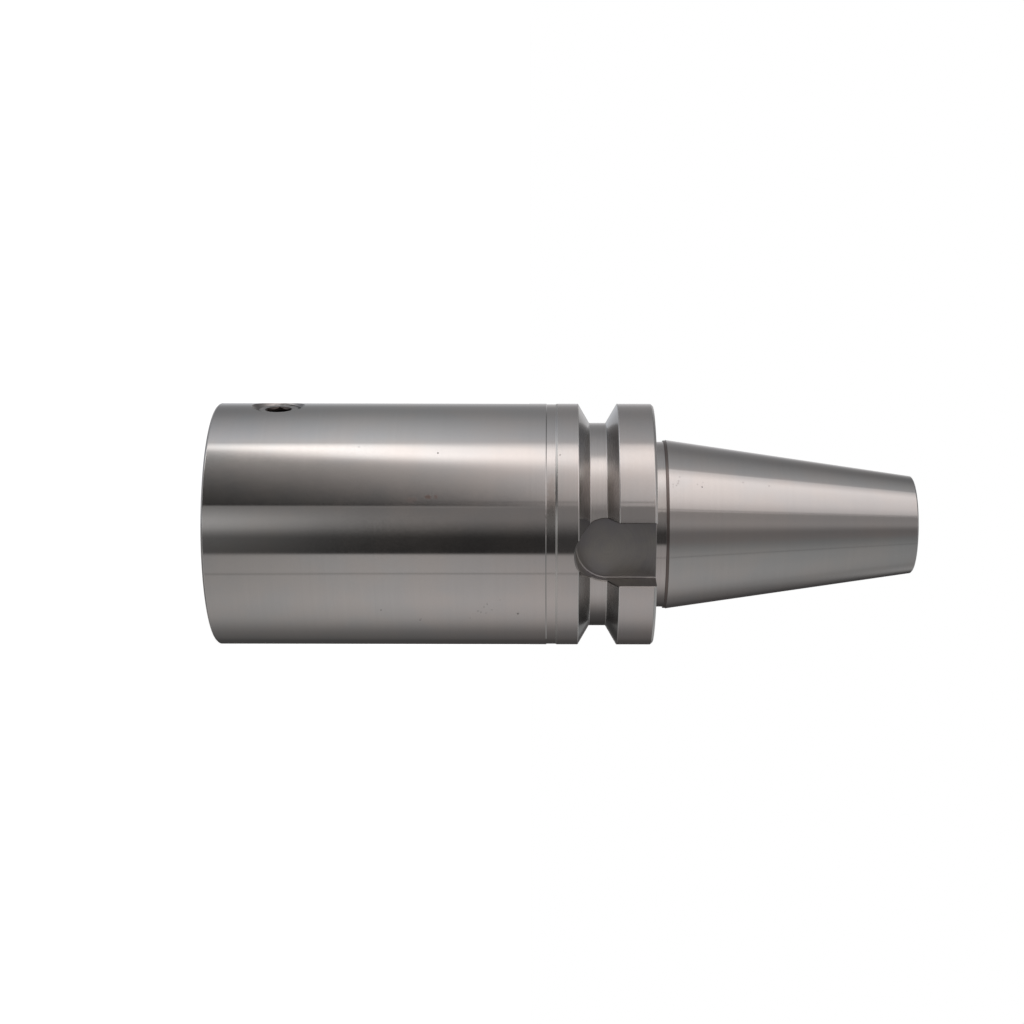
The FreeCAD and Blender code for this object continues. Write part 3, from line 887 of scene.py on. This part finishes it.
# Where the softbox's spill ends and the ceiling begins, and how softly.
edge = t.mixf(t.ramp(along, 0.29, 0.34), knots(83.3, 83.2, 80.6, 83.0), 84.3)
edge_soft = t.mixf(t.ramp(along, 0.12, 0.28), knots(0.6, 0.8, 3.6, 3.6), 0.6)
gap = knots(16.7, 16.7, 16.7, 18.8)
table = knots(-28.9, -28.2, -28.2, -37.5)
table_soft = knots(2.9, 0.8, 2.6, 21.8)
cards = [
    # the softbox overhead: a strip that widens and dims towards the taper
    card(knots(77.8, 65.1, 53.0, 20.0), knots(5.9, 4.0, 13.0, 19.0), knots(77.1, 81.7, 73.7, 76.3), knots(7.2, 1.4, 2.5, 10.0),
         knots(2.50, 1.67, 0.34, 0.34), knots(2.50, 0.61, 0.145, 0.50)),
    # its spill, down to the gap above the camera
    card(gap, 0.4, edge, edge_soft, t.math("ADD", knots(0.035, 0.07, 0.09, 0.13), t.math("MULTIPLY", past, 0.32)), knots(0.536, 0.832, 1.017, 0.735), knots(2.23, 1.62, 0.27, 0.53)),
    # the ceiling behind it
    card(edge, edge_soft, 148.7, 30.0, knots(0.68, 0.877, 0.495, 0.504), knots(0.07, 0.116, 0.166, 0.03), 0.84),
    # the white backdrop
    card(148.7, 30.0, 200.0, 1.0, 0.48, 1.0),
    # round the camera: a grey card, darkest below the lens
    card(-3.9, 10.6, gap, 0.4, knots(0.52, 0.124, 0.177, 0.23), knots(0.0, 0.142, 0.219, 0.0)),
    card(table, table_soft, gap, 0.4, knots(0.113, 0.008, 0.040, 0.198), knots(0.241, 0.03, 0.019, 0.22)),
    # the table in front
    card(-99.4, 27.8, table, table_soft, knots(0.40, 0.514, 0.561, 0.349), knots(0.267, 0.449, 0.322, 0.349)),
    # and behind, in the shank's own shade
    card(-150.0, 10.0, -99.4, 27.8, 0.073, 0.26),
    card(-200.0, 1.0, -150.0, 10.0, 0.05, 0.06),
]
total = cards[0]
for c in cards[1:]:
    total = t.math("ADD", total, c)
# Thin seams: between the softbox and the grey card, and across the table cloth.
seam = t.ramp(t.math("ABSOLUTE", t.math("SUBTRACT", psi, t.mixf(past, 18.3, 20.6))), 0.35, 1.15, t.mixf(past, 0.26, 0.42), 0.0)
fold = t.ramp(t.math("ABSOLUTE", t.math("SUBTRACT", psi, knots(-48.7, -47.4, -47.2, -47.2))), 0.3, 1.2, 0.30, 0.0)
lip = t.ramp(t.math("ABSOLUTE", t.math("SUBTRACT", psi, 15.8)), 0.3, 1.0, 0.30, 0.0)
lip = t.math("MULTIPLY", lip, t.math("MULTIPLY", t.ramp(along, -0.12, -0.09), t.ramp(along, -0.008, -0.002, 1.0, 0.0)))
total = t.math("MULTIPLY", total, t.math("SUBTRACT", t.math("ADD", 1.0, lip), t.math("ADD", seam, fold)))
# The near ends of the lamp and the table, which only small steps on the outside reflect.
near = t.math("MULTIPLY", t.ramp(along, -0.78, -0.66), t.ramp(along, -0.46, -0.36, 1.0, 0.0))
lamp_end = t.math("MULTIPLY", t.ramp(psi, 52.0, 62.0), t.ramp(psi, 74.0, 86.0, 1.1, 0.0))
total = t.math("ADD", total, t.math("MULTIPLY", near, t.math("ADD", lamp_end, t.ramp(psi, -36.0, -28.0, 0.12, 0.0))))
# The far end of the set is dimmer, and beyond the table's ends the room is greyer.
total = t.math("MULTIPLY", total, t.ramp(along, 0.33, 0.41, 1.0, 0.80, False))
ends = t.math("MAXIMUM", t.ramp(along, 0.55, 0.8), t.ramp(along, -0.8, -0.4, 1.0, 0.0))
fade = t.mixf(t.ramp(along, -0.5, 0.5), t.math("SUBTRACT", 1.0, t.math("MULTIPLY", t.ramp(psi, 14.0, 22.0), t.ramp(psi, 60.0, 76.0, 0.6, 0.0))), 0.7)
total = t.mixf(ends, total, t.math("ADD", t.math("MULTIPLY", total, fade), 0.05))
# Light off the floor: on faces turned to the far end, and behind the taper's small end.
low_glow = t.math("MULTIPLY", t.ramp(along, 0.6, 0.8), t.math("MULTIPLY", t.ramp(psi, -40.0, -25.0), t.ramp(psi, 2.0, 12.0, 0.18, 0.0)))
back_glow = t.math("MULTIPLY", t.ramp(along, 0.25, 0.30), t.ramp(psi, -138.0, -106.0, 0.26, 0.0))
total = t.math("ADD", total, t.math("ADD", low_glow, back_glow))
# Straight behind, the table's far edge melts into the backdrop.
total = t.mixf(t.ramp(t.math("ABSOLUTE", psi), 168.0, 180.0), total, 0.45)
# The lamp is a little warm, the ceiling and the far end of the table are neutral.
over = t.ramp(psi, 74.0, 92.0)
under = t.ramp(psi, -34.0, -22.0, 1.0, 0.0)
red = t.mixf(over, t.mixf(under, knots(1.015, 1.045, 1.085, 1.065), knots(1.02, 1.028, 1.08, 0.99)), knots(0.975, 0.985, 1.02, 1.0))
blue = t.mixf(over, t.mixf(under, knots(0.985, 0.975, 0.975, 0.985), knots(0.99, 0.985, 0.985, 1.0)), knots(1.05, 1.015, 1.02, 1.01))
tint = t.node("ShaderNodeCombineColor")
t.put(tint.inputs[0], t.math("MULTIPLY", total, red))
t.put(tint.inputs[1], total)
t.put(tint.inputs[2], t.math("MULTIPLY", total, blue))
lit = t.node("ShaderNodeBackground")
t.put(lit.inputs["Color"], tint.outputs[0])
lit.inputs["Strength"].default_value = 1.0
white = t.node("ShaderNodeBackground")
white.inputs["Color"].default_value = (1.0, 1.0, 1.0, 1.0)
white.inputs["Strength"].default_value = 1.0
seen = t.node("ShaderNodeLightPath").outputs["Is Camera Ray"]
both = t.node("ShaderNodeMixShader")
t.put(both.inputs[0], seen)
t.put(both.inputs[1], lit.outputs[0])
t.put(both.inputs[2], white.outputs[0])
out = t.node("ShaderNodeOutputWorld")
t.put(out.inputs["Surface"], both.outputs[0])

# ---------------------------------------------------------------- camera
cam_data = bpy.data.cameras.new("camera")
cam_data.sensor_width = 36.0
cam_data.sensor_fit = "HORIZONTAL"
cam_data.lens = 1995.9 * 36.0 / 1024.0
cam_data.shift_x = -43.44 / 1024.0
cam_data.clip_start, cam_data.clip_end = 0.01, 20.0
cam = bpy.data.objects.new("camera", cam_data)
bpy.context.scene.collection.objects.link(cam)
roll = 0.00192
cam_x = RIGHT * math.cos(roll) + UP * math.sin(roll)
cam_y = RIGHT * -math.sin(roll) + UP * math.cos(roll)
place = BACK * 0.52351 + UP * 0.0031258 + RIGHT * 0.087633
m = Matrix.Identity(4)
for i in range(3):
    m[i][0], m[i][1], m[i][2], m[i][3] = cam_x[i], cam_y[i], BACK[i], place[i]
cam.matrix_world = m
bpy.context.scene.camera = cam

view = bpy.context.scene.view_settings
view.view_transform = "Standard"
view.look = "None"
view.exposure = 0.0
view.gamma = 1.0
